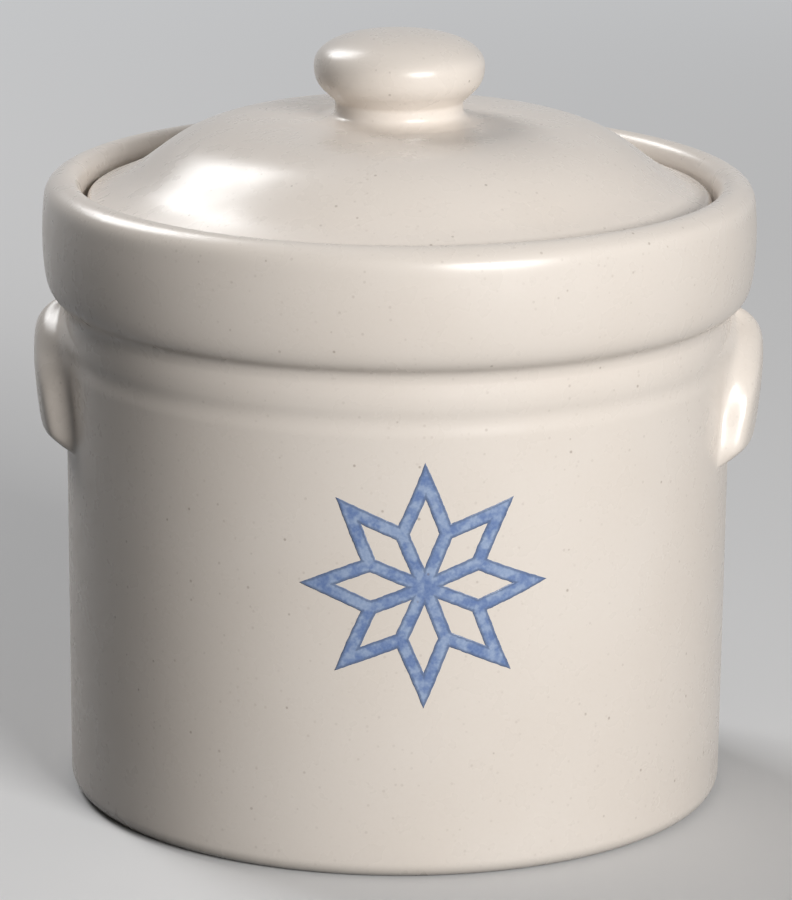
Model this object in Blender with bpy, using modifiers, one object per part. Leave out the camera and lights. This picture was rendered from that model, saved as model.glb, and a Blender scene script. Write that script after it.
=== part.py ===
"""Kitchen canister: a small turned stoneware crock with two lugs and a domed, sealed lid.

Lengths are in metres and +Z is up. The origin is the centre of the plane that the foot stands
on, and the lugs stand on the X axis. A round piece is a profile of (radius, height) points spun
about Z, and each profile runs down its outer side. Pieces that touch on the real pot are kept
SEAM apart.
"""
import math

import bmesh
import bpy

# How finely the round pieces are turned
TURN_STEPS = 60
KNOB_STEPS = 40
BAND_STEPS = 20
DOME_STEPS = 14
ROUND_STEPS = 4
LUG_ROUND_STEPS = 3

# Gap between pieces that touch
SEAM = 0.0003

# Crock
CROCK_HEIGHT = 0.1315
BAND_RADIUS = 0.0750
BAND_HEIGHT = 0.0249
BAND_STAND = 0.0046
RIM_WIDTH = 0.0083
LEDGE_WIDTH = 0.0045
BORE_LENGTH = 0.0140
BORE_SLOPE_LENGTH = 0.0050
WALL_THICKNESS = 0.0060
WALL_TAPER = 0.0007
FLOOR_THICKNESS = 0.0070
INSIDE_ROUNDING = 0.0080
FOOT_ROUNDING = 0.0041
FOOT_RING_WIDTH = 0.0060
FOOT_RECESS_DEPTH = 0.0015
FOOT_RECESS_SLOPE = 0.0015

# The bead and the groove turned into the wall below the band
BEAD_DROP = 0.0032
BEAD_HALF_WIDTH = 0.0030
BEAD_STAND = 0.0006
GROOVE_DROP = 0.0090
GROOVE_HALF_WIDTH = 0.0034
GROOVE_DEPTH = 0.0004

# Control points of the band's outline, from the mouth's wall over the rim to the crease under
# the band: how far across the rim from the mouth, and how far up the band from the crease
BAND_SHARES = (
    (0.00, 0.80), (0.00, 0.92), (0.12, 0.99), (0.38, 0.99), (0.63, 1.01), (0.86, 0.96),
    (0.96, 0.83), (1.04, 0.53), (0.93, 0.09), (0.57, 0.01),
)

# Lugs
LUG_DROP = 0.0016
LUG_HEIGHT = 0.0300
LUG_REACH = 0.0068
LUG_TAPER = 0.0014
LUG_HEAD_ROUNDING = 0.0064
LUG_ROUNDING = 0.0015
LUG_ROOT = 0.0050
LUG_EDGE_ANGLE = 20

# Widths of a lug inside the wall and across its face, at its foot and at its head
LUG_FOOT_WIDTH = 0.0480
LUG_HEAD_WIDTH = 0.0380
LUG_FACE_FOOT_WIDTH = 0.0080
LUG_FACE_HEAD_WIDTH = 0.0230

# Lid
LID_CLEARANCE = 0.0011
LID_SINK = 0.0030
LIP_THICKNESS = 0.0045
LIP_ROUNDING = 0.0012
DOME_RISE = 0.0171
DOME_THICKNESS = 0.0050
RING_CLEARANCE = 0.0025
RING_DEPTH = 0.0120
RING_THICKNESS = 0.0042

# Control points of the dome's outline, from its flared edge to the seat of the knob: how far
# out from the seat to the edge, and how far up the dome
DOME_SHARES = (
    (1.00, 0.00), (0.96, 0.05), (0.90, 0.13), (0.84, 0.22), (0.77, 0.37), (0.64, 0.66),
    (0.49, 0.83), (0.31, 0.94), (0.15, 0.99), (0.00, 1.00),
)

# Seal, a soft ring with fins in a groove round the lid's ring
SEAL_CLEARANCE = 0.0003
SEAL_HEIGHT = 0.0060
SEAL_DROP = 0.0030
SEAL_GROOVE_DEPTH = 0.0012
FIN_THICKNESS = 0.0010
FIN_COUNT = 2

# Knob
KNOB_RADIUS = 0.0179
KNOB_UPPER_HEIGHT = 0.0073
KNOB_LOWER_HEIGHT = 0.0085
KNOB_FULLNESS = 2.4
KNOB_RISE = 0.0098
NECK_RADIUS = 0.0134
NECK_FILLET = 0.0016
NECK_FOOT_EDGE = 0.0004

# Finishes
GLAZE_COLOUR = (0.74, 0.67, 0.59)
GLAZE_ROUGHNESS = 0.35
SEAL_COLOUR = (0.72, 0.70, 0.66)
SEAL_ROUGHNESS = 0.5

# Radii and heights that follow from the sizes above
mouth_radius = BAND_RADIUS - RIM_WIDTH
bore_radius = mouth_radius - LEDGE_WIDTH
wall_top_radius = BAND_RADIUS - BAND_STAND
wall_foot_radius = wall_top_radius - WALL_TAPER
crease_height = CROCK_HEIGHT - BAND_HEIGHT
ledge_height = CROCK_HEIGHT - LID_SINK - LIP_THICKNESS - SEAM
floor_height = FOOT_RECESS_DEPTH + FLOOR_THICKNESS
lid_radius = mouth_radius - LID_CLEARANCE
ring_radius = bore_radius - RING_CLEARANCE
groove_radius = ring_radius - SEAL_GROOVE_DEPTH
knob_foot_radius = NECK_RADIUS + NECK_FILLET
seal_base_height = -SEAL_DROP - SEAL_HEIGHT
crown_height = LIP_THICKNESS + DOME_RISE


def arc(centre, radius, start, end, steps):
    """Points of a circular arc, with angles in degrees from outwards (0) to upwards (90)."""
    points = []
    for step in range(steps + 1):
        angle = math.radians(start + (end - start) * step / steps)
        points.append((centre[0] + radius * math.cos(angle), centre[1] + radius * math.sin(angle)))
    return points


def spline(control, steps):
    """A clamped cubic B-spline on a control polygon, by de Boor's rule."""
    spans = len(control) - 3
    knots = [0] * 3 + list(range(spans + 1)) + [spans] * 3
    points = []
    for step in range(steps + 1):
        place = spans * step / steps
        span = min(int(place), spans - 1) + 3
        near = [control[span - 3 + index] for index in range(4)]
        for level in range(1, 4):
            for index in range(3, level - 1, -1):
                low = knots[span - 3 + index]
                high = knots[span + 1 + index - level]
                part = (place - low) / (high - low)
                before = near[index - 1]
                after = near[index]
                near[index] = tuple(a + (b - a) * part for a, b in zip(before, after))
        points.append(near[3])
    return points


def bump(offset, half_width):
    """A smooth hump that is 1 at its middle and 0 from its half width outwards."""
    share = min(abs(offset) / half_width, 1)
    return (1 + math.cos(math.pi * share)) / 2


def offset_outline(points, distance):
    """The outline moved sideways by a distance, outwards where it runs down its outer side."""
    moved = []
    for index, point in enumerate(points):
        before = points[max(index - 1, 0)]
        after = points[min(index + 1, len(points) - 1)]
        into = normal_of(before, point) if index else normal_of(point, after)
        out = normal_of(point, after) if index < len(points) - 1 else into
        spread = 1 + into[0] * out[0] + into[1] * out[1]
        moved.append((
            point[0] + distance * (into[0] + out[0]) / spread,
            point[1] + distance * (into[1] + out[1]) / spread,
        ))
    return moved


def normal_of(start, end):
    """The unit normal of a profile's edge, pointing out of the solid."""
    length = math.dist(start, end)
    return ((start[1] - end[1]) / length, (end[0] - start[0]) / length)


def wall_radius(height):
    """The wall's outer radius: a slight taper to the foot, with the bead and the groove."""
    radius = wall_top_radius - WALL_TAPER * (1 - height / crease_height)
    radius += BEAD_STAND * bump(height - crease_height + BEAD_DROP, BEAD_HALF_WIDTH)
    radius -= GROOVE_DEPTH * bump(height - crease_height + GROOVE_DROP, GROOVE_HALF_WIDTH)
    return radius


def band_outline():
    """The rim and the band, from the mouth's wall over the top to the crease under the band."""
    control = [
        (mouth_radius + RIM_WIDTH * across, crease_height + BAND_HEIGHT * up)
        for across, up in BAND_SHARES
    ]
    control.append((wall_radius(crease_height), crease_height))
    return spline(control, BAND_STEPS)


def wall_outline():
    """The outer wall, from just under the crease down to the foot's rounding."""
    drops = [
        BEAD_DROP - BEAD_HALF_WIDTH / 2,
        BEAD_DROP,
        BEAD_DROP + BEAD_HALF_WIDTH / 2,
        BEAD_DROP + BEAD_HALF_WIDTH,
        GROOVE_DROP - GROOVE_HALF_WIDTH / 2,
        GROOVE_DROP,
        GROOVE_DROP + GROOVE_HALF_WIDTH / 2,
        GROOVE_DROP + GROOVE_HALF_WIDTH,
    ]
    heights = sorted((crease_height - drop for drop in drops), reverse=True)
    return [(wall_radius(height), height) for height in heights]


def crock_outline():
    """The whole pot: inside floor, inner wall, ledge, rim, band, wall and foot."""
    inner_foot = wall_foot_radius - WALL_THICKNESS
    inner_top = wall_top_radius - WALL_THICKNESS
    bore_end = ledge_height - BORE_LENGTH
    rounding_centre = (inner_foot - INSIDE_ROUNDING, floor_height + INSIDE_ROUNDING)
    foot_centre = (wall_foot_radius - FOOT_ROUNDING, FOOT_ROUNDING)
    ring_inner = foot_centre[0] - FOOT_RING_WIDTH
    points = [(0, floor_height)]
    points += arc(rounding_centre, INSIDE_ROUNDING, -90, 0, ROUND_STEPS)
    points.append((inner_top, bore_end - BORE_SLOPE_LENGTH))
    points.append((bore_radius, bore_end))
    points.append((bore_radius, ledge_height))
    points.append((mouth_radius, ledge_height))
    points += band_outline()
    points += wall_outline()
    points += arc(foot_centre, FOOT_ROUNDING, 0, -90, ROUND_STEPS)
    points.append((ring_inner, 0))
    points.append((ring_inner - FOOT_RECESS_SLOPE, FOOT_RECESS_DEPTH))
    points.append((0, FOOT_RECESS_DEPTH))
    return points


def dome_outline():
    """The lid's top, from the knob's seat out to the flared edge, above the lip's underside."""
    span = lid_radius - LIP_ROUNDING - knob_foot_radius
    control = [
        (knob_foot_radius + span * out, LIP_THICKNESS + DOME_RISE * up) for out, up in DOME_SHARES
    ]
    return spline(control, DOME_STEPS)[::-1]


def lid_outline():
    """The lid: crown, dome, lip, locating ring with the seal's groove, and hollow underside."""
    dome = dome_outline()
    lip_centre = lid_radius - LIP_ROUNDING
    inner_radius = ring_radius - RING_THICKNESS
    groove_top = -SEAL_DROP
    hollow = [point for point in offset_outline(dome, -DOME_THICKNESS) if point[0] < inner_radius]
    points = [(0, crown_height)]
    points += dome[:-1]
    points += arc((lip_centre, LIP_THICKNESS - LIP_ROUNDING), LIP_ROUNDING, 90, 0, ROUND_STEPS)
    points += arc((lip_centre, LIP_ROUNDING), LIP_ROUNDING, 0, -90, ROUND_STEPS)
    points.append((ring_radius, 0))
    points.append((ring_radius, groove_top))
    points.append((groove_radius, groove_top))
    points.append((groove_radius, groove_top - SEAL_HEIGHT))
    points.append((ring_radius, groove_top - SEAL_HEIGHT))
    points.append((ring_radius, -RING_DEPTH))
    points.append((inner_radius, -RING_DEPTH))
    points.append((inner_radius, hollow[-1][1]))
    points += hollow[::-1]
    points.append((0, crown_height - DOME_THICKNESS))
    return points


def seal_outline():
    """The seal's section: a band in the groove, with wedge fins that reach for the bore."""
    inner = groove_radius + SEAM
    root = ring_radius
    tip = bore_radius - SEAL_CLEARANCE
    height = SEAL_HEIGHT - 2 * SEAM
    pitch = height / FIN_COUNT
    points = [(inner, height), (root, height)]
    for fin in range(FIN_COUNT):
        middle = height - pitch * (fin + 0.5)
        points.append((root, middle + FIN_THICKNESS))
        points.append((tip, middle + FIN_THICKNESS / 2))
        points.append((tip, middle - FIN_THICKNESS / 2))
        points.append((root, middle - FIN_THICKNESS))
    points += [(root, 0), (inner, 0), (inner, height)]
    return points


def knob_outline():
    """The knob: a flattened ball of two superellipse halves, its neck and the neck's foot."""
    points = []
    for step in range(2 * ROUND_STEPS + 1):
        angle = math.pi / 2 * step / (2 * ROUND_STEPS)
        out = math.sin(angle) ** (2 / KNOB_FULLNESS)
        up = max(math.cos(angle), 0) ** (2 / KNOB_FULLNESS)
        points.append((KNOB_RADIUS * out, KNOB_RISE + KNOB_UPPER_HEIGHT * up))
    neck_share = NECK_RADIUS / KNOB_RADIUS
    neck_angle = math.asin(min(neck_share, 1) ** (KNOB_FULLNESS / 2))
    for step in range(1, ROUND_STEPS + 1):
        angle = math.pi / 2 + (math.pi / 2 - neck_angle) * step / ROUND_STEPS
        out = math.sin(angle) ** (2 / KNOB_FULLNESS)
        down = (-math.cos(angle)) ** (2 / KNOB_FULLNESS)
        points.append((KNOB_RADIUS * out, KNOB_RISE - KNOB_LOWER_HEIGHT * down))
    fillet_centre = (knob_foot_radius, NECK_FILLET + NECK_FOOT_EDGE)
    points += arc(fillet_centre, NECK_FILLET, 180, 270, ROUND_STEPS)
    points += [(knob_foot_radius, 0), (0, 0)]
    return points


def material(name, colour, roughness):
    """A plain Principled material."""
    finish = bpy.data.materials.new(name)
    finish.use_nodes = True
    shader = finish.node_tree.nodes["Principled BSDF"]
    shader.inputs["Base Color"].default_value = (*colour, 1)
    shader.inputs["Roughness"].default_value = roughness
    shader.inputs["Metallic"].default_value = 0
    return finish


def glaze(name):
    """The pot's glaze, as a material of its own for each piece."""
    return material(name, GLAZE_COLOUR, GLAZE_ROUGHNESS)


def new_object(name, mesh, collection, finish=None):
    """An object for a mesh, in its collection and with its material."""
    piece = bpy.data.objects.new(name, mesh)
    collection.objects.link(piece)
    if finish:
        mesh.materials.append(finish)
    return piece


def turned(name, outline, steps, collection, finish=None):
    """A profile spun about Z with a Screw modifier."""
    mesh = bpy.data.meshes.new(name)
    edges = [(index, index + 1) for index in range(len(outline) - 1)]
    if math.dist(outline[0], outline[-1]) < SEAM:
        outline = outline[:-1]
        edges[-1] = (len(outline) - 1, 0)
    mesh.from_pydata([(radius, 0, height) for radius, height in outline], edges, [])
    piece = new_object(name, mesh, collection, finish)
    spin = piece.modifiers.new("spin", "SCREW")
    spin.axis = "Z"
    spin.angle = 2 * math.pi
    spin.steps = steps
    spin.render_steps = steps
    spin.use_merge_vertices = True
    spin.merge_threshold = SEAM / 100
    spin.use_smooth_shade = True
    return piece


def lug_mesh(name):
    """A lug as a block stacked from rows of four corners, each row narrower outwards."""
    root = wall_top_radius - LUG_ROOT
    face = wall_top_radius + LUG_REACH
    top = crease_height - LUG_DROP
    low = top - LUG_HEIGHT
    head_centre = (face - LUG_HEAD_ROUNDING, top - LUG_HEAD_ROUNDING)
    outline = arc(head_centre, LUG_HEAD_ROUNDING, 90, 0, ROUND_STEPS)
    for step in range(1, ROUND_STEPS + 1):
        down = step / ROUND_STEPS
        outline.append((face - LUG_TAPER * down, head_centre[1] + (low - head_centre[1]) * down))
    shape = bmesh.new()
    rows = []
    for reach, height in outline:
        up = (height - low) / LUG_HEIGHT
        out = (reach - root) / (face - root)
        root_half = (LUG_FOOT_WIDTH + (LUG_HEAD_WIDTH - LUG_FOOT_WIDTH) * up) / 2
        face_half = (LUG_FACE_FOOT_WIDTH + (LUG_FACE_HEAD_WIDTH - LUG_FACE_FOOT_WIDTH) * up) / 2
        half = root_half + (face_half - root_half) * out
        places = ((root, -root_half), (reach, -half), (reach, half), (root, root_half))
        rows.append([shape.verts.new((*place, height)) for place in places])
    for above, below in zip(rows, rows[1:]):
        for index, corner in enumerate(above):
            shape.faces.new((corner, above[index - 1], below[index - 1], below[index]))
    shape.faces.new(rows[0])
    shape.faces.new(rows[-1][::-1])
    bmesh.ops.recalc_face_normals(shape, faces=shape.faces)
    mesh = bpy.data.meshes.new(name)
    shape.to_mesh(mesh)
    shape.free()
    return mesh


def add_lug(name, turn, collection, finish, cutter):
    """One lug: the block rounded with a bevel, then fitted to the wall and the band."""
    piece = new_object(name, lug_mesh(name), collection, finish)
    piece.rotation_euler = (0, 0, turn)
    rounding = piece.modifiers.new("rounding", "BEVEL")
    rounding.width = LUG_ROUNDING
    rounding.segments = LUG_ROUND_STEPS
    rounding.limit_method = "ANGLE"
    rounding.angle_limit = math.radians(LUG_EDGE_ANGLE)
    fit = piece.modifiers.new("fit_to_wall", "BOOLEAN")
    fit.operation = "DIFFERENCE"
    fit.solver = "EXACT"
    fit.object = cutter
    return piece


def add_empty(name, collection, height, parent=None):
    """An empty on the axis, for what moves with the lid."""
    empty = bpy.data.objects.new(name, None)
    empty.location = (0, 0, height)
    empty.parent = parent
    collection.objects.link(empty)
    return empty


def main():
    """Builds the canister."""
    for old in list(bpy.data.objects):
        bpy.data.objects.remove(old)
    parts = bpy.data.collections.new("kitchen_canister")
    cutters = bpy.data.collections.new("cutters")
    for collection in (parts, cutters):
        bpy.context.scene.collection.children.link(collection)

    turned("crock", crock_outline(), TURN_STEPS, parts, glaze("crock_glaze"))

    # The lugs are cut by the pot's own outside, grown by the seam
    outside = offset_outline(band_outline() + wall_outline(), SEAM)
    outside = [(0, outside[0][1])] + outside + [(outside[-1][0], 0), (0, 0)]
    pot_outside = turned("pot_outside", outside, TURN_STEPS, cutters)
    pot_outside.hide_render = True
    pot_outside.display_type = "WIRE"
    add_lug("left_lug", math.pi, parts, glaze("left_lug_glaze"), pot_outside)
    add_lug("right_lug", 0, parts, glaze("right_lug_glaze"), pot_outside)

    # What lifts and turns hangs on two empties on the axis, at the ledge
    lift = add_empty("lid_lift", parts, ledge_height + SEAM)
    turn = add_empty("lid_turn", parts, 0, lift)

    rubber = material("seal_rubber", SEAL_COLOUR, SEAL_ROUGHNESS)
    seal = turned("lid_seal", seal_outline(), TURN_STEPS, parts, rubber)
    seal.location = (0, 0, seal_base_height + SEAM)
    seal.parent = lift

    lid = turned("lid", lid_outline(), TURN_STEPS, parts, glaze("lid_glaze"))
    lid.parent = turn

    knob = turned("lid_knob", knob_outline(), KNOB_STEPS, parts, glaze("knob_glaze"))
    knob.location = (0, 0, crown_height + SEAM)
    knob.parent = turn


main()
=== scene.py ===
"""Looks of the stoneware canister: the glazed pot with its two lugs, the domed lid and its knob,
the soft seal and the blue quilt star printed on the front.

Every shape is worked out in millimetres from the same sizes as the solids and goes into its mesh
in metres. The pot's axis is Z, the lugs stand on X and the front faces -Y.
"""

import math

import bpy
import numpy as np
from mathutils import Matrix, Vector


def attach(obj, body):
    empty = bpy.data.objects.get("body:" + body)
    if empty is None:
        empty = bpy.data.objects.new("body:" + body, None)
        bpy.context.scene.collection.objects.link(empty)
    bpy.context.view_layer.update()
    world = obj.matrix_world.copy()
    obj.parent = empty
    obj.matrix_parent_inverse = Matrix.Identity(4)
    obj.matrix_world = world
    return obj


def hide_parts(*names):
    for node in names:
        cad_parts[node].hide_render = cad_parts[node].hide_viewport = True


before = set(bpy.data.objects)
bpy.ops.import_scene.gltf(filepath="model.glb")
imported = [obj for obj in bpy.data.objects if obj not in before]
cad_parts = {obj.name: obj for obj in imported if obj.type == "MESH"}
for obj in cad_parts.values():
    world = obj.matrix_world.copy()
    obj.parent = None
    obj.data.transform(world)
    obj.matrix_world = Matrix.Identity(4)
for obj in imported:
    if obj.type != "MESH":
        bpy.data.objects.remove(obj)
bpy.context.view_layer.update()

MM = 0.001

# Columns of faces round the pot and the lid, the knob, and the seal
POT_COLUMNS, KNOB_COLUMNS, SEAL_COLUMNS = 288, 160, 240

# Half angle from which a corner counts as straight, in radians
NEARLY_STRAIGHT = 1.56

# Pot, in millimetres
CROCK_HEIGHT, BAND_RADIUS, BAND_HEIGHT, BAND_STAND = 131.5, 75.0, 24.9, 4.6
RIM_WIDTH, LEDGE_WIDTH, BORE_LENGTH, BORE_SLOPE = 8.3, 4.5, 14.0, 5.0
WALL, TAPER, FLOOR_Z, INSIDE_ROUNDING = 6.0, 0.7, 8.5, 8.0
FOOT_ROUNDING, FOOT_RING, RECESS = 3.5, 6.6, 1.5
MOUTH = BAND_RADIUS - RIM_WIDTH
BORE = MOUTH - LEDGE_WIDTH
WALL_TOP = BAND_RADIUS - BAND_STAND
WALL_FOOT = WALL_TOP - TAPER
CREASE = CROCK_HEIGHT - BAND_HEIGHT
LEDGE, CREASE_FILLET = 123.7, 2.6

# Bead and groove under the band: how far below the crease, half width, and how far out
BEAD_DROP, BEAD_HALF_WIDTH, BEAD_STAND = 6.2, 4.2, 0.22
GROOVE_DROP, GROOVE_HALF_WIDTH, GROOVE_DEPTH = 10.8, 3.2, 0.24

# The band's outline: shares of the way across the rim and of the way up the band
BAND_POINTS = (
    (0.00, 0.80), (0.00, 0.88), (0.06, 0.965), (0.24, 1.022), (0.50, 1.032), (0.76, 0.993),
    (0.95, 0.925), (0.99, 0.78), (1.03, 0.55), (0.96, 0.14), (0.70, 0.02), (0.47, -0.01),
)

# Lid and seal, in millimetres
LID_RADIUS, LIP_Z, LIP_THICKNESS, LIP_ROUNDING = 65.6, 124.0, 4.5, 1.2
DOME_RISE, DOME_THICKNESS = 17.1, 5.0
RING_RADIUS, RING_THICKNESS, RING_DEPTH = 59.7, 4.2, 12.0
SEAL_TOP, SEAL_HEIGHT, SEAL_GROOVE = 121.0, 6.0, 1.2

# The dome's outline: how far outside the neck it starts, then shares of the way from there out to
# the lip and of the rise
DOME_START = 2.0
DOME_POINTS = (
    (1.00, 0.00), (0.96, 0.05), (0.90, 0.13), (0.84, 0.22), (0.77, 0.37), (0.64, 0.66),
    (0.49, 0.83), (0.31, 0.915), (0.15, 0.925), (0.00, 0.922),
)
SEAT = LIP_Z + LIP_THICKNESS + DOME_RISE * DOME_POINTS[-1][1]

# Knob, in millimetres; it is a superellipse of this fullness, and stands a little aside of the axis
KNOB_RADIUS, KNOB_Z, KNOB_UP, KNOB_DOWN, KNOB_FULLNESS = 17.9, 155.4, 7.3, 8.9, 2.35
KNOB_ASIDE = -0.3
NECK_RADIUS, NECK_LEAVE, NECK_ROUNDING = 13.4, 15.8, 1.5
FLARE_OUT, FLARE_UP, FLARE_Z = 9.0, 2.6, SEAT - 0.12

# Pieces that touch overlap by this much, so that no gap shows
OVERLAP = 0.8


def spline(control, count):
    """A clamped cubic B-spline: the control points weighed by the Cox-de Boor basis, which is built
    up from boxes to cubics for all parameter values at once."""
    control = np.asarray(control, float)
    spans = len(control) - 3
    knots = np.concatenate([np.zeros(3), np.arange(spans + 1), np.full(3, spans)]).astype(float)
    place = np.linspace(0, spans, count)
    place[-1] -= 1e-9
    basis = ((place[:, None] >= knots[:-1]) & (place[:, None] < knots[1:])).astype(float)
    for degree in (1, 2, 3):
        rise = knots[degree:-1] - knots[:-degree - 1]
        fall = knots[degree + 1:] - knots[1:-degree]
        up = (place[:, None] - knots[:-degree - 1]) / np.where(rise > 0, rise, 1)
        down = (knots[degree + 1:] - place[:, None]) / np.where(fall > 0, fall, 1)
        basis = basis[:, :-1] * up * (rise > 0) + basis[:, 1:] * down * (fall > 0)
    return basis @ control


def rounded(corners, steps=7):
    """A polyline whose corners (radius, height, rounding) are turned into arcs that touch both of
    their sides, each arc a fan of directions about its centre."""
    corners = np.asarray(corners, float)
    out = [corners[:1, :2]]
    for before, here, after in zip(corners[:-2], corners[1:-1], corners[2:]):
        a, b = before[:2] - here[:2], after[:2] - here[:2]
        a, b = a / np.linalg.norm(a), b / np.linalg.norm(b)
        half = math.acos(np.clip(a @ b, -1, 1)) / 2
        if here[2] <= 0 or half > NEARLY_STRAIGHT:
            out.append(here[None, :2])
            continue
        reach = here[2] / math.tan(half)
        middle = (a + b) / np.linalg.norm(a + b)
        centre = here[:2] + middle * here[2] / math.sin(half)
        start, end = here[:2] + a * reach - centre, here[:2] + b * reach - centre
        turn = math.atan2(start[0] * end[1] - start[1] * end[0], start @ end)
        angles = np.linspace(0, turn, steps)
        across = np.array([-start[1], start[0]])
        out.append(centre + np.cos(angles)[:, None] * start + np.sin(angles)[:, None] * across)
    out.append(corners[-1:, :2])
    return np.concatenate(out)


def filled_in(profile, gap):
    """The profile with points added along its long straight stretches, none farther than gap."""
    lengths = np.linalg.norm(np.diff(profile, axis=0), axis=1)
    counts = np.maximum(1, np.ceil(lengths / gap)).astype(int)
    index = np.repeat(np.arange(len(counts)), counts)
    step = np.arange(counts.sum()) - np.repeat(np.cumsum(counts) - counts, counts)
    part = (step / counts[index])[:, None]
    inner = profile[index] * (1 - part) + profile[index + 1] * part
    return np.concatenate([inner, profile[-1:]])


def hump(offset, half_width):
    """A cosine hump: 1 at its middle, 0 from the half width outwards."""
    return (1 + np.cos(np.pi * np.clip(np.abs(offset) / half_width, 0, 1))) / 2


def wall_radius(height):
    """The outer wall: a line that tapers to the foot, plus the bead's hump, less the groove's."""
    radius = WALL_TOP - TAPER * (1 - height / CREASE)
    drop = CREASE - height
    bead = BEAD_STAND * hump(drop - BEAD_DROP, BEAD_HALF_WIDTH)
    groove = GROOVE_DEPTH * hump(drop - GROOVE_DROP, GROOVE_HALF_WIDTH)
    return radius + bead - groove


def make_mesh(name, points, quads, triangles=None, smooth=True):
    """A mesh object at the origin from arrays of points in millimetres and of corner numbers."""
    mesh = bpy.data.meshes.new(name)
    triangles = np.zeros((0, 3), int) if triangles is None else triangles
    corners = np.concatenate([quads.ravel(), triangles.ravel()]).astype(np.int32)
    sizes = np.concatenate([np.full(len(quads), 4), np.full(len(triangles), 3)])
    starts = (np.cumsum(sizes) - sizes).astype(np.int32)
    mesh.vertices.add(len(points))
    mesh.vertices.foreach_set("co", (points * MM).astype(np.float32).ravel())
    mesh.loops.add(len(corners))
    mesh.loops.foreach_set("vertex_index", corners)
    mesh.polygons.add(len(sizes))
    mesh.polygons.foreach_set("loop_start", starts)
    mesh.polygons.foreach_set("use_smooth", np.full(len(sizes), smooth))
    mesh.update(calc_edges=True)
    mesh.validate()
    piece = bpy.data.objects.new(name, mesh)
    bpy.context.scene.collection.objects.link(piece)
    return piece


def turned(name, profile, columns, aside=0.0):
    """A profile carried round the axis: point (r, z) goes to (r cos a, r sin a, z) for evenly spaced
    a. A profile that starts and ends on the axis is closed there by fans to one pole each; any other
    is closed by joining its last ring to its first. All of it may stand a little aside in x."""
    angles = np.arange(columns) * 2 * np.pi / columns
    poles = profile[0, 0] < 1e-6 and profile[-1, 0] < 1e-6
    rings = profile[1:-1] if poles else profile
    count = len(rings)
    across, up = rings[:, :1], np.repeat(rings[:, 1:], columns, 1)
    grid = np.stack([across * np.cos(angles) + aside, across * np.sin(angles), up], -1).reshape(-1, 3)
    row = np.arange(count - 1 if poles else count)[:, None]
    col = np.arange(columns)[None]
    below, beside = (row + 1) % count, (col + 1) % columns
    quads = np.stack([
        row * columns + col, below * columns + col, below * columns + beside, row * columns + beside
    ], -1).reshape(-1, 4)
    if not poles:
        return make_mesh(name, grid, quads)
    first, last = count * columns, count * columns + 1
    ends = np.array([[aside, 0, profile[0, 1]], [aside, 0, profile[-1, 1]]])
    here, onward, bottom = col[0], beside[0], (count - 1) * columns
    fans = np.concatenate([
        np.stack([np.full(columns, first), here, onward], 1),
        np.stack([np.full(columns, last), bottom + onward, bottom + here], 1),
    ])
    return make_mesh(name, np.concatenate([grid, ends]), quads, fans)


def pot_profile():
    """The pot from the middle of its inside floor, up the wall and the ledge, over the rim, down the
    band, the bead and the groove, round the foot and in to the middle of the recess under it."""
    fine, coarse, long_gap = 0.3, 2.2, 4.0
    meets, grooved_to = CREASE - CREASE_FILLET, CREASE - 14.1
    band = spline(
        [(MOUTH + RIM_WIDTH * across, CREASE + BAND_HEIGHT * up) for across, up in BAND_POINTS]
        + [(wall_radius(meets), meets)], 110)
    inside = rounded([
        (0, FLOOR_Z, 0), (WALL_FOOT - WALL, FLOOR_Z, INSIDE_ROUNDING),
        (WALL_TOP - WALL, LEDGE - BORE_LENGTH - BORE_SLOPE, 3.0), (BORE, LEDGE - BORE_LENGTH, 3.0),
        (BORE, LEDGE, 0.8), (MOUTH, LEDGE, 1.0), (*band[0], 0),
    ], 9)
    heights = np.concatenate([
        np.arange(meets - fine, grooved_to, -fine), np.arange(CREASE - 15, FOOT_ROUNDING + 1, -coarse),
    ])
    wall = np.stack([wall_radius(heights), heights], 1)
    turn = np.linspace(0, -np.pi / 2, 12)
    foot_edge = np.stack([
        WALL_FOOT - FOOT_ROUNDING * (1 - np.cos(turn)), FOOT_ROUNDING * (1 + np.sin(turn)),
    ], 1)
    ring = WALL_FOOT - FOOT_ROUNDING - FOOT_RING
    under = rounded([
        (*foot_edge[-1], 0), (ring, 0, 0.6), (ring - RECESS, RECESS, 0.8), (0, RECESS, 0),
    ], 5)
    return np.concatenate([
        filled_in(inside, long_gap)[:-1], band, wall, foot_edge, filled_in(under, long_gap)[1:],
    ])


def dome_profile(count):
    """The lid's top from the flat under the knob out to its flared edge, as a B-spline."""
    start, edge = NECK_RADIUS + DOME_START, LIP_Z + LIP_THICKNESS
    span = LID_RADIUS - LIP_ROUNDING - start
    return spline([(start + span * out, edge + DOME_RISE * up) for out, up in DOME_POINTS], count)[::-1]


def sideways(profile, distance):
    """The profile moved along its own normals, found from the differences of its points."""
    along = np.gradient(profile, axis=0)
    along /= np.linalg.norm(along, axis=1)[:, None]
    return profile + distance * np.stack([-along[:, 1], along[:, 0]], 1)


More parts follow.
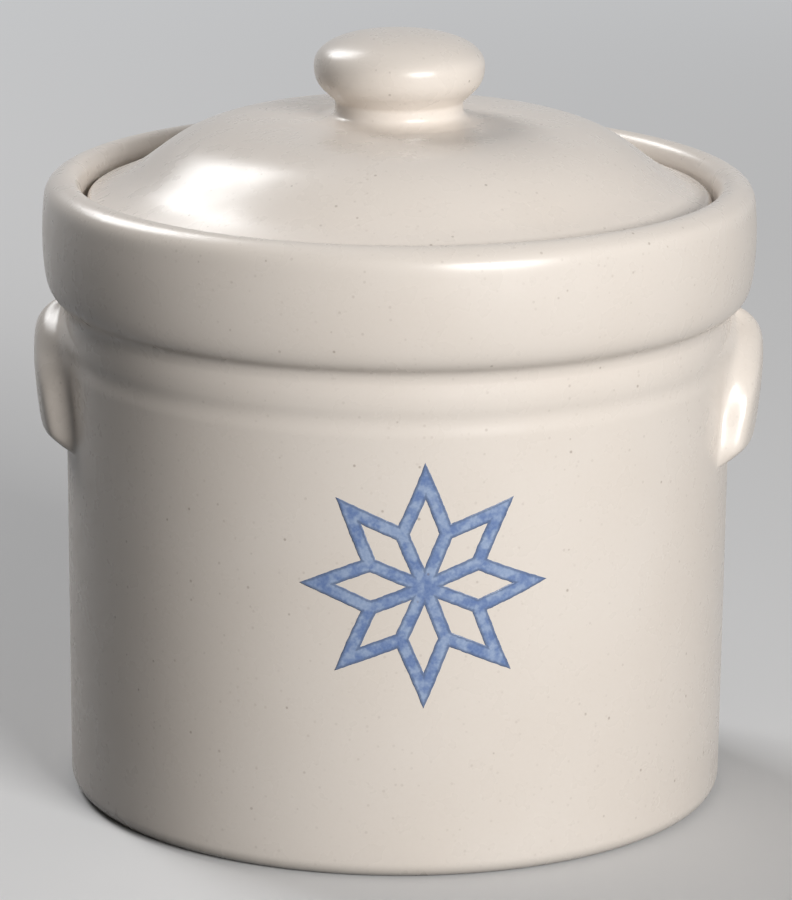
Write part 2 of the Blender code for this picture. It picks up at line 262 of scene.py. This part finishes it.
def lid_profile():
    """The lid from the middle of its dome, out and round the lip, in under it to the centring ring
    with the seal's groove, and up into the hollow."""
    dome = dome_profile(90)
    inner, groove = RING_RADIUS - RING_THICKNESS, RING_RADIUS - SEAL_GROOVE
    lip_top, seal_low, ring_low = LIP_Z + LIP_THICKNESS, SEAL_TOP - SEAL_HEIGHT, LIP_Z - RING_DEPTH
    hollow = sideways(dome, -DOME_THICKNESS)
    hollow = hollow[hollow[:, 0] < inner - 1.2][::-1]
    ring = rounded([
        (*dome[-1], 0), (LID_RADIUS, lip_top, LIP_ROUNDING), (LID_RADIUS, LIP_Z, LIP_ROUNDING),
        (RING_RADIUS, LIP_Z, 0.8), (RING_RADIUS, SEAL_TOP, 0.3), (groove, SEAL_TOP, 0.2),
        (groove, seal_low, 0.2), (RING_RADIUS, seal_low, 0.3), (RING_RADIUS, ring_low, 1.4),
        (inner, ring_low, 1.4), (inner, hollow[0, 1] - 0.5, 1.5), (*hollow[0], 0),
    ], 7)
    middle = np.array([[radius, SEAT] for radius in (0, 4, 8, 12)])
    under = np.array([[radius, SEAT - DOME_THICKNESS] for radius in (12, 6, 0)])
    return np.concatenate([middle, dome[:-1], filled_in(ring, 2.0)[:-1], hollow, under])


def knob_profile():
    """The knob: two superellipse halves, r = R sin^(2/n) and z = c +- h cos^(2/n), the lower one left
    by its tangent for the neck, an arc that turns it down, and a quarter of a concave superellipse
    that spreads its foot on the dome."""
    power, flare_power = 2 / KNOB_FULLNESS, 2 / 3
    upper = np.linspace(0, np.pi / 2, 40)
    top = np.stack([
        KNOB_RADIUS * np.sin(upper) ** power, KNOB_Z + KNOB_UP * np.cos(upper).clip(0) ** power,
    ], 1)
    last = math.acos((NECK_LEAVE / KNOB_RADIUS) ** (1 / power))
    lower = np.linspace(0, last, 24)[1:]
    low = np.stack([
        KNOB_RADIUS * np.cos(lower) ** power, KNOB_Z - KNOB_DOWN * np.sin(lower) ** power,
    ], 1)
    slope = (low[-1, 1] - low[-2, 1]) / (low[-1, 0] - low[-2, 0])
    turn = (NECK_RADIUS, low[-1, 1] + slope * (NECK_RADIUS - low[-1, 0]))
    neck = rounded([(*low[-1], 0), (*turn, NECK_ROUNDING), (NECK_RADIUS, FLARE_Z + FLARE_UP, 0)], 12)
    part = np.linspace(0, np.pi / 2, 16)[1:]
    flare = np.stack([
        NECK_RADIUS + FLARE_OUT * (1 - np.cos(part).clip(0) ** flare_power),
        FLARE_Z + FLARE_UP * (1 - np.sin(part) ** flare_power),
    ], 1)
    rim = flare[-1, 0]
    foot = np.array([[rim + 0.5, SEAT - 0.5], [rim, SEAT - OVERLAP], [0, SEAT - OVERLAP]])
    return np.concatenate([top, low, neck[1:], flare, foot])


def seal_profile():
    """The seal's section: a band with two soft fins that lean out towards the bore, as one loop."""
    gap, soft, root_half, tip_half, tip_soft = 0.3, 0.3, 1.0, 0.45, 0.35
    inner, root, tip = RING_RADIUS - SEAL_GROOVE + gap, RING_RADIUS, BORE - gap
    low, high = SEAL_TOP - SEAL_HEIGHT + gap, SEAL_TOP - gap
    pitch = (high - low) / 2
    corners = [(inner, (low + high) / 2, 0), (inner, high, soft), (root, high, soft)]
    for middle in (high - pitch / 2, low + pitch / 2):
        corners += [
            (root, middle + root_half, soft), (tip, middle + tip_half, tip_soft),
            (tip, middle - tip_half, tip_soft), (root, middle - root_half, soft),
        ]
    corners += [(root, low, soft), (inner, low, soft), (inner, (low + high) / 2, 0)]
    return rounded(corners, 6)[:-1]


# Lug, in millimetres: control points (radius, height) of its middle line, from under its foot up
LUG_LINE = (
    (69.4, 73.6), (69.9, 74.2), (70.6, 74.6), (72.2, 75.5), (73.9, 76.9), (75.2, 78.0), (75.7, 79.2),
    (75.95, 80.8), (76.2, 82.5), (76.6, 86.0), (77.0, 90.0), (77.25, 94.0), (77.25, 97.3),
    (76.8, 99.8), (75.7, 101.8), (74.2, 103.3), (72.6, 104.4), (71.0, 105.1), (69.2, 105.6),
)

# How far the left lug is raised at its foot, the height below which it is raised in full, and how
# deep the thin ends of the sections lie in the wall
LEFT_LIFT, LIFTED_BELOW, LUG_SINK = 1.1, 75.0, 0.03

# Half of a section through it, from the wall in to the middle: places along the wall, in shares of
# the flank's place, and how far out, in shares of the reach, for each lug's crisp flank and for a
# plain slope
RIGHT_CRISP = (
    (1.75, 0.0), (1.40, 0.0), (1.14, 0.0), (1.06, 0.02), (1.03, 0.20), (1.00, 0.50), (0.968, 0.80),
    (0.88, 0.97), (0.50, 1.0),
)
LEFT_CRISP = (
    (1.75, 0.0), (1.45, 0.0), (1.22, 0.0), (1.10, 0.03), (1.045, 0.20), (1.00, 0.50), (0.955, 0.80),
    (0.86, 0.97), (0.50, 1.0),
)
LUG_SLOPE = (
    (2.60, 0.0), (2.30, 0.02), (1.90, 0.08), (1.45, 0.17), (1.05, 0.25), (0.85, 0.40), (0.60, 0.66),
    (0.30, 0.88), (0.12, 0.97),
)

# At each height, the flank's place along the wall and how crisp it is
LUG_FLANK = (
    (73.0, 20.0, 0.9), (75.0, 20.0, 1.0), (77.0, 19.95, 1.0), (79.0, 19.6, 1.0), (82.0, 18.8, 1.0),
    (86.0, 17.6, 1.0), (90.0, 16.6, 0.9), (93.0, 15.6, 0.7), (95.0, 14.7, 0.5), (97.0, 13.3, 0.34),
    (99.0, 10.9, 0.24), (100.5, 8.3, 0.18), (102.0, 5.2, 0.12), (103.5, 3.2, 0.05), (106.0, 2.2, 0.0),
)


def through(pairs, value):
    """Values of a smooth curve through (place, value) pairs: cubic Hermite pieces whose slopes are
    the differences between neighbours."""
    pairs = np.asarray(pairs, float)
    x, y = pairs.T
    slope = np.gradient(y, x)
    index = np.clip(np.searchsorted(x, value) - 1, 0, len(x) - 2)
    width = x[index + 1] - x[index]
    t = np.clip((value - x[index]) / width, 0, 1)
    return (
        (2 * t ** 3 - 3 * t ** 2 + 1) * y[index] + (t ** 3 - 2 * t ** 2 + t) * width * slope[index]
        + (3 * t ** 2 - 2 * t ** 3) * y[index + 1] + (t ** 3 - t ** 2) * width * slope[index + 1]
    )


def basis(count, amount):
    """The weights of a clamped cubic B-spline's control points, one row for each of its points."""
    return spline(np.eye(count), amount)


def grid_faces(rows, columns):
    """Four-cornered faces of a grid of points that is numbered row by row."""
    i, j = np.meshgrid(np.arange(rows - 1), np.arange(columns - 1), indexing="ij")
    corner = i * columns + j
    return np.stack([corner, corner + columns, corner + columns + 1, corner + 1], -1).reshape(-1, 4)


def lug(name, facing, crisp_shape, lift=0.0):
    """A lug over a grid of section points and heights. At each height the section is a B-spline
    whose control points lie between a crisp flank and a plain slope, mirrored; its middle reaches to
    the lug's middle line and its ends die into the wall. A back just inside the wall closes it. The
    lift raises the foot, and less and less what lies above it."""
    line = spline(LUG_LINE, 110)
    flank, crisp = (through([(row[0], row[k]) for row in LUG_FLANK], line[:, 1]) for k in (1, 2))
    control = np.array(crisp_shape)[:, :, None] * crisp + np.array(LUG_SLOPE)[:, :, None] * (1 - crisp)
    sign = np.array([-1, 1])[None, :, None]
    middle = np.stack([np.zeros(len(line)), np.ones(len(line))])[None]
    control = np.concatenate([control * sign, middle, control[::-1]])
    section = np.einsum("pc,cvh->pvh", basis(len(control), 170), control)
    height = line[:, 1] + lift * np.clip((CREASE - line[:, 1]) / (CREASE - LIFTED_BELOW), 0, 1)
    height = np.broadcast_to(height, section[:, 0].shape)
    base = wall_radius(height)
    radius = base + (line[:, 0] - base) * section[:, 1] - LUG_SINK
    angle = section[:, 0] * flank / WALL_TOP + facing
    rows, columns = radius.shape

    def shell(distance):
        return np.stack([distance * np.cos(angle), distance * np.sin(angle), height], -1).reshape(-1, 3)

    points = np.concatenate([shell(radius), shell(base - OVERLAP)])
    front, back = grid_faces(rows, columns), rows * columns
    edge = np.concatenate([
        np.arange(rows) * columns, (rows - 1) * columns + np.arange(1, columns),
        (np.arange(rows - 1)[::-1]) * columns + columns - 1, np.arange(1, columns - 1)[::-1],
    ])
    after = np.roll(edge, -1)
    sides = np.stack([edge, edge + back, after + back, after], 1)
    return make_mesh(name, points, np.concatenate([front, front[:, ::-1] + back, sides]))


# Quilt star, in millimetres and degrees
STAR_ANGLE, STAR_Z, STAR_REACH, STAR_STROKE = 5.8, 62.3, 21.9, 2.9

# How far the print stands out of the wall and reaches into it
PRINT_OUT, PRINT_IN = 0.035, 0.12


def patch(corners, across, along):
    """A bilinear patch of four corner points: its points and its four-cornered faces."""
    first, second, third, fourth = corners
    u, v = np.meshgrid(np.linspace(0, 1, across + 1), np.linspace(0, 1, along + 1), indexing="ij")
    u, v = u[..., None], v[..., None]
    grid = first * (1 - u) * (1 - v) + second * u * (1 - v) + third * u * v + fourth * (1 - u) * v
    return grid.reshape(-1, 2), grid_faces(across + 1, along + 1)


def star_sixteenth():
    """The flat patches of one sixteenth of the star, from the middle of a point to the spoke beside
    it: two stretches of the outline, and the spoke."""
    eighth, half = math.radians(22.5), STAR_STROKE / 2
    side = STAR_REACH / (2 * math.cos(eighth))
    line = side * math.sin(2 * eighth)
    axis = np.array([1.0, 0.0])
    spoke = np.array([math.cos(eighth), math.sin(eighth)])
    outline_normal = np.array([math.sin(eighth), math.cos(eighth)])
    spoke_normal = np.array([math.sin(eighth), -math.cos(eighth)])
    outer_tip = axis * (line + half) / math.sin(eighth)
    inner_tip = axis * (line - half) / math.sin(eighth)
    notch = half / math.sin(2 * eighth)
    outer_notch, inner_notch = spoke * (side + notch), spoke * (side - notch)
    corner = np.linalg.solve(np.stack([outline_normal, spoke_normal]), np.array([line - half, half]))
    heart = axis * half / math.sin(eighth)
    return [
        patch((inner_tip, outer_tip, outer_notch, corner), 12, 40),
        patch((corner, outer_notch, (outer_notch + inner_notch) / 2, inner_notch), 12, 8),
        patch((heart, corner, inner_notch, axis * 0), 30, 8),
    ]


def inside_stroke(points):
    """How far each flat point of the star lies inside the outline's stroke or a spoke's."""
    eighth, half = math.radians(22.5), STAR_STROKE / 2
    line = STAR_REACH * math.sin(eighth)
    rho, angle = np.hypot(*points.T), np.arctan2(points[:, 1], points[:, 0])
    fold = np.abs(np.mod(angle + eighth, 2 * eighth) - eighth)
    outline = rho * np.sin(fold + eighth) - line
    from_spoke = rho * np.sin(eighth - fold)
    return np.maximum(half - np.abs(outline), np.minimum(half - from_spoke, half - outline))


def wavering(s, t):
    """How far each point of the print is moved, across and up, so that its edges waver: the sum of a
    fine, a finer and a slow sine in each direction."""
    across = 0.03 * np.sin(1.9 * t + 0.7 * s + 1) + 0.02 * np.sin(3.7 * t - 2.3 * s)
    up = 0.03 * np.sin(2.1 * s - 0.6 * t + 4) + 0.02 * np.sin(4.1 * s + 1.7 * t)
    return np.stack([across + 0.10 * np.sin(0.31 * t + 2), up + 0.10 * np.sin(0.27 * s)], 1)


def star():
    """An eight-point star of open diamonds, printed on the wall. One sixteenth of it is mirrored and
    turned, sixteen in all, which are joined, made to waver and wrapped on the wall: across becomes
    an angle, up a height. The attribute "edge" holds how far each point lies inside the stroke."""
    points, faces, start = [], [], 0
    for flat, quads in star_sixteenth():
        for turn in np.arange(8) * math.pi / 4:
            for flip in (1, -1):
                x, y = flat[:, 0], flat[:, 1] * flip
                cos, sin = math.cos(turn), math.sin(turn)
                points.append(np.stack([x * cos - y * sin, x * sin + y * cos], 1))
                faces.append((quads if flip > 0 else quads[:, ::-1]) + start)
                start += len(flat)
    points, faces = np.concatenate(points), np.concatenate(faces)
    places = np.round(points * 1e4).astype(int)
    _, first, joined = np.unique(places, axis=0, return_index=True, return_inverse=True)
    points, faces = points[first], joined.reshape(-1)[faces]
    s, t = (points + wavering(*points.T)).T
    height = STAR_Z + t
    angle = math.radians(STAR_ANGLE) + s / WALL_TOP

    def shell(radius):
        return np.stack([radius * np.sin(angle), -radius * np.cos(angle), height], 1)

    count = len(points)
    both = np.concatenate([shell(wall_radius(height) + PRINT_OUT), shell(wall_radius(height) - PRINT_IN)])
    # The rim of the print is every edge that only one face has
    pairs = np.concatenate([np.stack([faces[:, k], faces[:, (k + 1) % 4]], 1) for k in range(4)])
    code = pairs.min(1).astype(np.int64) * count + pairs.max(1)
    _, place, times = np.unique(code, return_index=True, return_counts=True)
    rim = pairs[place[times == 1]]
    walls = np.stack([rim[:, 0], rim[:, 0] + count, rim[:, 1] + count, rim[:, 1]], 1)
    piece = make_mesh("quilt_star", both, np.concatenate([faces, faces[:, ::-1] + count, walls]))
    edge = piece.data.attributes.new("edge", "FLOAT", "POINT")
    edge.data.foreach_set("value", np.tile(inside_stroke(points), 2).astype(np.float32))
    return piece


class Nodes:
    """The node tree of a material or a world, with short calls to add nodes and link what feeds them."""

    def __init__(self, owner):
        self.owner = owner
        owner.use_nodes = True
        self.tree = owner.node_tree
        self.tree.nodes.clear()

    def add(self, kind, inputs=None, **settings):
        """A new node. Each input is linked if it is given a socket, and otherwise set."""
        node = self.tree.nodes.new("ShaderNode" + kind)
        for key, value in settings.items():
            setattr(node, key, value)
        for key, value in (inputs or {}).items():
            if isinstance(value, bpy.types.NodeSocket):
                self.tree.links.new(value, node.inputs[key])
            else:
                node.inputs[key].default_value = value
        return node

    def math(self, operation, a, b=0.0):
        """One step of arithmetic on two values or sockets."""
        return self.add("Math", {0: a, 1: b}, operation=operation).outputs[0]

    def times(self, a, b):
        """The product of two values or sockets."""
        return self.math("MULTIPLY", a, b)

    def blend(self, a, share_a, b, share_b):
        """The sum of two values, each times its share."""
        return self.math("ADD", self.times(a, share_a), self.times(b, share_b))

    def ramp(self, value, low, high, to_low=0.0, to_high=1.0):
        """A smooth step of the value, from low to high, to between the other two."""
        return self.add("MapRange", {
            "Value": value, "From Min": low, "From Max": high, "To Min": to_low, "To Max": to_high
        }, interpolation_type="SMOOTHSTEP").outputs[0]

    def mix(self, factor, a, b):
        """Colour a where the factor is 0 and b where it is 1; a colour mix has them at inputs 6 and 7."""
        return self.add("Mix", {0: factor, 6: a, 7: b}, data_type="RGBA").outputs[2]

    def noise(self, where, scale, detail=2.0):
        """Soft noise from 0 to 1; the scale is in cells to a metre."""
        settings = {"Vector": where, "Scale": scale, "Detail": detail, "Roughness": 0.5}
        return self.add("TexNoise", settings).outputs[0]

    def specks(self, where, scale, radius, common, depth):
        """Round specks: one in each cell of a Voronoi pattern whose random colour is over a bar, drawn
        where the cell's point is nearer than the radius, and darker or fainter cell by cell."""
        cells = self.add("TexVoronoi", {"Vector": where, "Scale": scale, "Randomness": 1.0})
        shade = self.add("SeparateColor", {0: cells.outputs["Color"]})
        spot = self.ramp(cells.outputs["Distance"], radius * 0.4, radius, 1.0, 0.0)
        there = self.ramp(shade.outputs[0], 1 - common, 1 - common + 0.02)
        strong = self.ramp(self.math("POWER", shade.outputs[1], 2.5), 0.0, 1.0, depth * 0.25, depth)
        return self.times(self.times(spot, there), strong)

    def bump(self, height, strength, distance):
        """A bumped normal, for marks too fine for the mesh; the distance is in metres."""
        settings = {"Height": height, "Strength": strength, "Distance": distance}
        return self.add("Bump", settings).outputs[0]

    def where_seen(self, seen, lighting):
        """One shader where the camera looks, also by reflection or through glass, and another for the
        light that falls on things."""
        ray = self.add("LightPath").outputs
        direct = self.math("MAXIMUM", ray["Is Camera Ray"], ray["Is Glossy Ray"])
        looks = self.math("MAXIMUM", direct, ray["Is Transmission Ray"])
        return self.add("MixShader", {0: looks, 1: lighting, 2: seen}).outputs[0]

    def finish(self, surface, kind="OutputMaterial"):
        """Links the surface to a new output, and gives back the finished material or world."""
        self.tree.links.new(surface, self.add(kind).inputs[0])
        return self.owner


def patterned(name):
    """A new material's empty node tree, and the object coordinates, in metres, for its patterns."""
    made = Nodes(bpy.data.materials.new(name))
    return made, made.add("TexCoord").outputs["Object"]


# Colours, linear
CREAM = (0.775, 0.712, 0.650, 1)
CREAM_DEEP = (0.742, 0.672, 0.603, 1)
SPECK = (0.17, 0.115, 0.075, 1)
BLUE = (0.120, 0.195, 0.410, 1)
BLUE_PALE = (0.335, 0.425, 0.600, 1)
BLUE_EDGE = (0.105, 0.150, 0.260, 1)
CLAY, CLAY_PALE = (0.42, 0.33, 0.24, 1), (0.56, 0.46, 0.35, 1)
MILK, MILK_PALE = (0.72, 0.71, 0.68, 1), (0.79, 0.78, 0.75, 1)
FLOOR_LIT, FLOOR_DIM = (0.74, 0.74, 0.745, 1), (0.07, 0.07, 0.07, 1)
BACKGROUND, FILL = (0.62, 0.63, 0.645, 1), (1.0, 0.99, 0.97, 1)

# Blue print: how far inside the stroke its dark edge starts to fade and ends, and its strength
EDGE_FROM, EDGE_TO, EDGE_STRENGTH = 0.34, 0.80, 0.78


def glaze_surface(made, colour, where):
    """The satin glaze's shine and skin over any colour: a nearly even sheen with a faint orange peel."""
    sheen = made.ramp(made.noise(where, 160, 3.0), 0.3, 0.7, 0.26, 0.32)
    peel = made.noise(where, 420, 2.0)
    wave = made.noise(where, 55, 1.0)
    height = made.math("ADD", made.times(peel, 0.10), wave)
    return made.add("BsdfPrincipled", {
        "Base Color": colour, "Roughness": sheen, "IOR": 1.5, "Normal": made.bump(height, 0.10, 0.6 * MM),
    }).outputs[0]


def cream_colour(made, where):
    """Cream with slow and fine changes of tone, and iron specks of two sizes under the glaze."""
    slow = made.ramp(made.noise(where, 28, 2.0), 0.3, 0.7)
    fine = made.ramp(made.noise(where, 1500, 3.0), 0.25, 0.75)
    tone = made.mix(made.blend(slow, 0.55, fine, 0.25), CREAM, CREAM_DEEP)
    small = made.specks(where, 560, radius=0.24, common=0.50, depth=0.16)
    bold = made.specks(where, 300, radius=0.125, common=0.75, depth=0.46)
    return made.mix(made.math("MAXIMUM", small, bold), tone, SPECK)


def glaze(name):
    """The speckled cream glaze."""
    made, where = patterned(name)
    return made.finish(glaze_surface(made, cream_colour(made, where), where))


def printed_blue(name):
    """Cobalt print under the glaze: mottled where the colour was dabbed, darker along its edges."""
    made, where = patterned(name)
    cloud = made.ramp(made.noise(where, 420, 4.0), 0.38, 0.62)
    grain = made.ramp(made.noise(where, 1700, 3.0), 0.3, 0.7)
    fill = made.mix(made.blend(cloud, 0.72, grain, 0.28), BLUE, BLUE_PALE)
    edge = made.add("Attribute", attribute_name="edge").outputs["Fac"]
    inside = made.math("ADD", edge, made.times(grain, 0.15))
    colour = made.mix(made.ramp(inside, EDGE_FROM, EDGE_TO, EDGE_STRENGTH, 0.0), fill, BLUE_EDGE)
    colour = made.mix(made.specks(where, 330, radius=0.12, common=0.5, depth=0.45), colour, SPECK)
    return made.finish(glaze_surface(made, colour, where))


def bare_clay(name):
    """Unglazed stoneware on the foot ring: warm grey-tan, dry and grainy, with iron spots."""
    made, where = patterned(name)
    grain = made.noise(where, 1300, 5.0)
    tone = made.mix(made.ramp(grain, 0.3, 0.7), CLAY, CLAY_PALE)
    colour = made.mix(made.specks(where, 450, radius=0.2, common=0.6, depth=0.7), tone, SPECK)
    shader = made.add("BsdfPrincipled", {
        "Base Color": colour, "Roughness": made.ramp(grain, 0.2, 0.8, 0.78, 0.92),
        "Normal": made.bump(grain, 0.5, 0.3 * MM),
    })
    return made.finish(shader.outputs[0])


def soft_seal(name):
    """Milky silicone: pale, a little see-into, with dust-fine mottling and a soft sheen."""
    made, where = patterned(name)
    grain = made.noise(where, 900, 3.0)
    shader = made.add("BsdfPrincipled", {
        "Base Color": made.mix(made.ramp(grain, 0.3, 0.7), MILK, MILK_PALE), "IOR": 1.41,
        "Roughness": made.ramp(grain, 0.2, 0.8, 0.40, 0.50), "Subsurface Weight": 0.25,
        "Subsurface Scale": 4 * MM, "Normal": made.bump(grain, 0.2, 0.1 * MM),
    })
    return made.finish(shader.outputs[0])


def dress(piece, body, nodes, slot, *materials):
    """Gives a piece its materials, hides the solids that it stands for and puts it on its body; the slot
    is not used.
    """
    for material in materials:
        piece.data.materials.append(material)
    if nodes:
        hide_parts(*nodes)
    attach(piece, body)


def leave_bare(piece, below):
    """Gives the faces whose middle is below a height its second material, bare of glaze."""
    centres = np.empty(len(piece.data.polygons) * 3, np.float32)
    piece.data.polygons.foreach_get("center", centres)
    low_faces = centres.reshape(-1, 3)[:, 2] < below * MM
    piece.data.polygons.foreach_set("material_index", low_faces.astype(np.int32))


# The pot
pot = turned("pot", pot_profile(), POT_COLUMNS)
leave_bare(pot, 0.2)
cream = glaze("cream_glaze")
dress(pot, "crock", ["crock"], "crock_glaze", cream, bare_clay("bare_clay"))
dress(lug("lug_left", math.pi, LEFT_CRISP, LEFT_LIFT), "crock", ["left_lug"], "left_lug_glaze", cream)
dress(lug("lug_right", 0.0, RIGHT_CRISP), "crock", ["right_lug"], "right_lug_glaze", cream)
dress(star(), "crock", [], "crock_glaze", printed_blue("blue_print"))

# The lid, its knob and its seal
dress(turned("lid_dome", lid_profile(), POT_COLUMNS), "lid", ["lid"], "lid_glaze", cream)
dress(turned("knob", knob_profile(), KNOB_COLUMNS, KNOB_ASIDE), "lid", ["lid_knob"], "knob_glaze", cream)
seal = turned("seal", seal_profile(), SEAL_COLUMNS)
dress(seal, "seal", ["lid_seal"], "seal_rubber", soft_seal("milky_seal"))


# Camera: how far from the axis, how high and the height that it aims at, in metres; its turn to the
# right, yaw, pitch and roll, in degrees; its focal length and the photo's height, in pixels
CAMERA_BACK, CAMERA_HEIGHT, CAMERA_AIM = 1.0700, 0.3505, 0.06375
CAMERA_ANGLES = (1.2, -0.017, 0.432, 0.490)
FOCAL_LENGTH, PHOTO_HEIGHT, SENSOR = 5190, 900, 36.0

# Height that the lamps aim at, in metres
LAMP_AIM = 0.08

# Stage: the floor's half width, in millimetres, how far out it fades into the background, in metres,
# and how strongly the world lights the pot from all round
FLOOR_HALF, FADE_FROM, FADE_TO, FILL_STRENGTH = 60e3, 0.35, 1.5, 0.02


def stage():
    """A pale floor that carries the shadow near the pot and, farther out, fades into the plain tone
    that the world shows, so that no horizon is seen."""
    corners = np.array([[-1, -1, 0], [1, -1, 0], [1, 1, 0], [-1, 1, 0]]) * FLOOR_HALF
    plane = make_mesh("floor", corners, np.array([[0, 1, 2, 3]]), smooth=False)
    made, where = patterned("pale_floor")
    distance = made.add("VectorMath", {0: where}, operation="LENGTH").outputs["Value"]
    lit = made.add("BsdfDiffuse", {"Color": FLOOR_LIT})
    plain = made.add("Emission", {"Color": BACKGROUND, "Strength": 1.0})
    dim = made.add("BsdfDiffuse", {"Color": FLOOR_DIM})
    far = made.ramp(distance, FADE_FROM, FADE_TO)
    near = made.add("MixShader", {0: far, 1: lit.outputs[0], 2: plain.outputs[0]})
    plane.data.materials.append(made.finish(made.where_seen(near.outputs[0], dim.outputs[0])))

    world = bpy.data.worlds.new("studio")
    bpy.context.scene.world = world
    made = Nodes(world)
    fill = made.add("Background", {"Color": FILL, "Strength": FILL_STRENGTH})
    shown = made.add("Background", {"Color": BACKGROUND, "Strength": 1.0})
    made.finish(made.where_seen(shown.outputs[0], fill.outputs[0]), "OutputWorld")


def softbox(name, azimuth, elevation, distance, width, height, power, colour=(1, 1, 1)):
    """A soft lamp aimed at the pot's middle. Azimuth 0 is in front, positive to the right. Angles
    are in degrees, lengths in metres and the power is in watts."""
    lamp = bpy.data.lights.new(name, "AREA")
    lamp.shape, lamp.size, lamp.size_y = "RECTANGLE", width, height
    lamp.energy, lamp.color = power, colour
    a, e = math.radians(azimuth), math.radians(elevation)
    back = Vector((math.sin(a) * math.cos(e), -math.cos(a) * math.cos(e), math.sin(e)))
    thing = bpy.data.objects.new(name, lamp)
    thing.location = Vector((0, 0, LAMP_AIM)) + back * distance
    thing.rotation_euler = back.to_track_quat("Z", "Y").to_euler()
    thing.visible_camera = False
    bpy.context.scene.collection.objects.link(thing)
    return thing


def camera():
    """The photograph's view: from 15 degrees above, 1.1 m away, a little to the pot's right, with the
    small yaw, pitch and roll that the outlines ask for."""
    turn, yaw, pitch, roll = (math.radians(angle) for angle in CAMERA_ANGLES)
    place = Vector((CAMERA_BACK * math.sin(turn), -CAMERA_BACK * math.cos(turn), CAMERA_HEIGHT))
    above = Vector((0, 0, 1))
    ahead = (Vector((0, 0, CAMERA_AIM)) - place).normalized()
    right = ahead.cross(above).normalized()
    ahead = (ahead + math.tan(yaw) * right + math.tan(pitch) * right.cross(ahead)).normalized()
    right = ahead.cross(above).normalized()
    up = right.cross(ahead)
    cos, sin = math.cos(roll), math.sin(roll)
    right, up = cos * right + sin * up, cos * up - sin * right
    lens = bpy.data.cameras.new("camera")
    lens.sensor_fit, lens.sensor_width = "AUTO", SENSOR
    lens.lens = SENSOR * FOCAL_LENGTH / PHOTO_HEIGHT
    lens.clip_start, lens.clip_end = 0.05, 200.0
    thing = bpy.data.objects.new("camera", lens)
    thing.matrix_world = Matrix.Translation(place) @ Matrix((right, up, -ahead)).transposed().to_4x4()
    bpy.context.scene.collection.objects.link(thing)
    bpy.context.scene.camera = thing


stage()
camera()
softbox("key", 31.3, 17.5, 1.6, width=0.70, height=0.42, power=26.4, colour=(1.0, 0.99, 0.975))
softbox("back_left", -136, 43, 1.5, width=0.54, height=0.64, power=11.4)
softbox("overhead", 10, 84, 1.6, width=1.4, height=1.4, power=2.1).visible_glossy = False
bpy.context.scene.view_settings.view_transform = "Standard"
